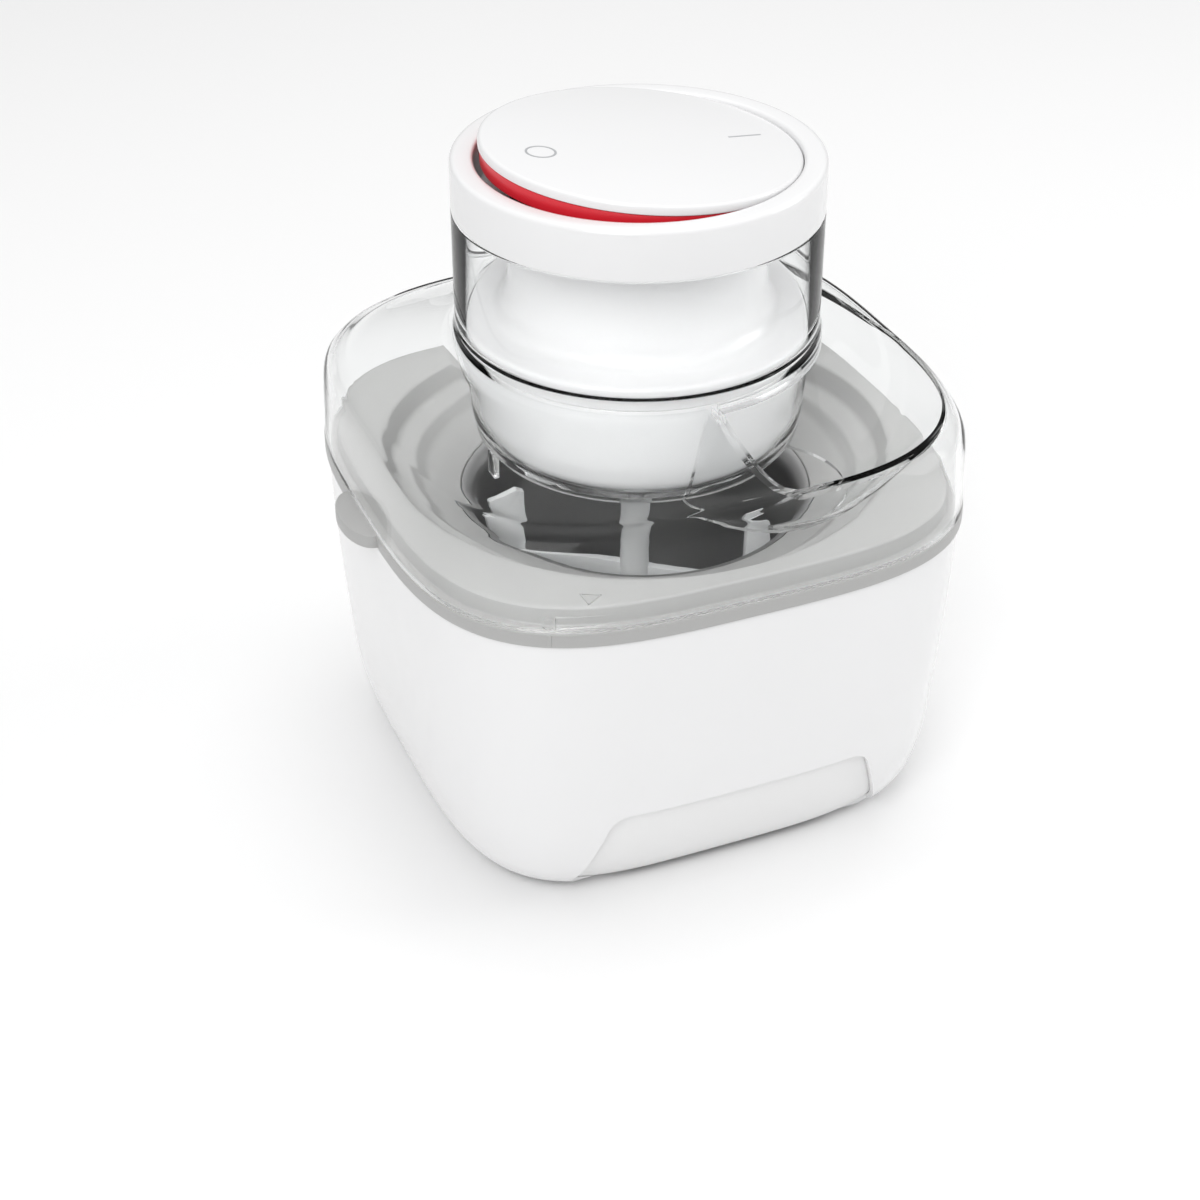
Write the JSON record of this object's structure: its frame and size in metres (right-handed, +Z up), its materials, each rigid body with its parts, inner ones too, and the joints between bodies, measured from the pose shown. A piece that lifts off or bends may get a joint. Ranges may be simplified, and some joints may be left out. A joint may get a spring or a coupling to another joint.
{
  "type": "ice cream maker",
  "caption": "Squarish countertop ice cream maker with a lift-out freezer bowl, clear lid with a pouring chute, and a round motor head with a tilting switch disc.",
  "frame": {"origin": "middle of the whole footprint, lifting tab included, at the floor; the axis of the bowl, paddle and head is 4.75 mm toward +X from it", "axes": "+Z up; the front, with the cut-out in the housing, faces -Y; the bowl's lifting tab is on -X"},
  "size_m": [0.2496, 0.24, 0.2859],
  "materials": {
    "white_gloss": "glossy white moulded plastic",
    "grey_plastic": "satin light grey moulded plastic",
    "clear_plastic": "clear polycarbonate-like plastic, listed as glass because it is transparent",
    "liner_metal": "dark satin aluminium",
    "steel": "plain steel",
    "red_plastic": "glossy red plastic",
    "white_matte": "matt white plastic",
    "rubber_dark": "black rubber or moulding",
    "gear_plastic": "natural acetal-like plastic",
    "brass": "machined brass",
    "coolant_gel": "freezing gel, solid when cold"
  },
  "bodies": {
    "base": {"base_housing": "white_gloss", "base_tray": "white_gloss", "foot_front_left": "rubber_dark", "foot_front_right": "rubber_dark", "foot_rear_left": "rubber_dark", "foot_rear_right": "rubber_dark", "tray_screw_1": "steel", "tray_screw_2": "steel", "tray_screw_3": "steel", "tray_screw_4": "steel"},
    "bowl": {"bowl_rim": "grey_plastic", "bowl_liner": "liner_metal", "bowl_jacket": "grey_plastic", "coolant_fill": "coolant_gel"},
    "paddle": {"mixing_paddle": "white_matte"},
    "lid_body": {"lid": "clear_plastic"},
    "head": {"head_collar": "white_gloss", "cord_gland": "rubber_dark", "motor_housing": "white_gloss", "rocker_axle": "steel", "collar_screw_1": "steel", "collar_screw_2": "steel", "collar_screw_3": "steel", "motor_cap": "white_gloss", "cap_screw_1": "steel", "cap_screw_2": "steel", "cap_screw_3": "steel", "gear_plate": "steel", "plate_screw_1": "steel", "plate_screw_2": "steel", "plate_screw_3": "steel", "output_bush": "brass", "motor_can": "steel", "idler_axle": "steel", "switch_body": "rubber_dark"},
    "rocker": {"rocker_disc": "white_gloss", "rocker_skirt": "red_plastic"},
    "plunger": {"switch_plunger": "white_matte"},
    "rotor": {"motor_shaft": "steel", "motor_pinion": "brass"},
    "idler": {"idler_gear": "gear_plastic"},
    "output": {"output_shaft": "steel", "output_gear": "gear_plastic", "drive_socket": "gear_plastic"}
  },
  "joints": [
    {"name": "bowl_lift", "type": "slide", "parent": "base", "child": "bowl", "axis": [0, 0, 1], "range_m": [0, 0.15]},
    {"name": "paddle_spin", "type": "hinge", "parent": "bowl", "child": "paddle", "pos_m": [0.00475, 0, 0.08], "axis": [0, 0, 1], "continuous": true},
    {"name": "lid_lift", "type": "slide", "parent": "bowl", "child": "lid_body", "axis": [0, 0, 1], "range_m": [0, 0.12]},
    {"name": "head_lift", "type": "slide", "parent": "lid_body", "child": "head", "axis": [0, 0, 1], "range_m": [0, 0.12]},
    {"name": "rocker_tilt", "type": "hinge", "parent": "head", "child": "rocker", "pos_m": [0.00475, 0, 0.2695], "axis": [0, -1, 0], "range_deg": [0, 9.6]},
    {"name": "switch_press", "type": "slide", "parent": "head", "child": "plunger", "axis": [0, 0, 1], "range_m": [0, 0.0036]},
    {"name": "output_spin", "type": "hinge", "parent": "head", "child": "output", "pos_m": [0.00475, 0, 0.18], "axis": [0, 0, 1], "continuous": true},
    {"name": "idler_spin", "type": "hinge", "parent": "head", "child": "idler", "pos_m": [0.02974, 0.02837, 0.18], "axis": [0, 0, 1], "continuous": true},
    {"name": "motor_spin", "type": "hinge", "parent": "head", "child": "rotor", "pos_m": [0.02475, 0, 0.18], "axis": [0, 0, 1], "continuous": true}
  ],
  "couplings": [
    {"joint": "output_spin", "follows": "paddle_spin", "ratio": 1},
    {"joint": "idler_spin", "follows": "paddle_spin", "ratio": -4},
    {"joint": "motor_spin", "follows": "paddle_spin", "ratio": 15},
    {"joint": "switch_press", "follows": "rocker_tilt", "m_per_rad": 0.02}
  ]
}
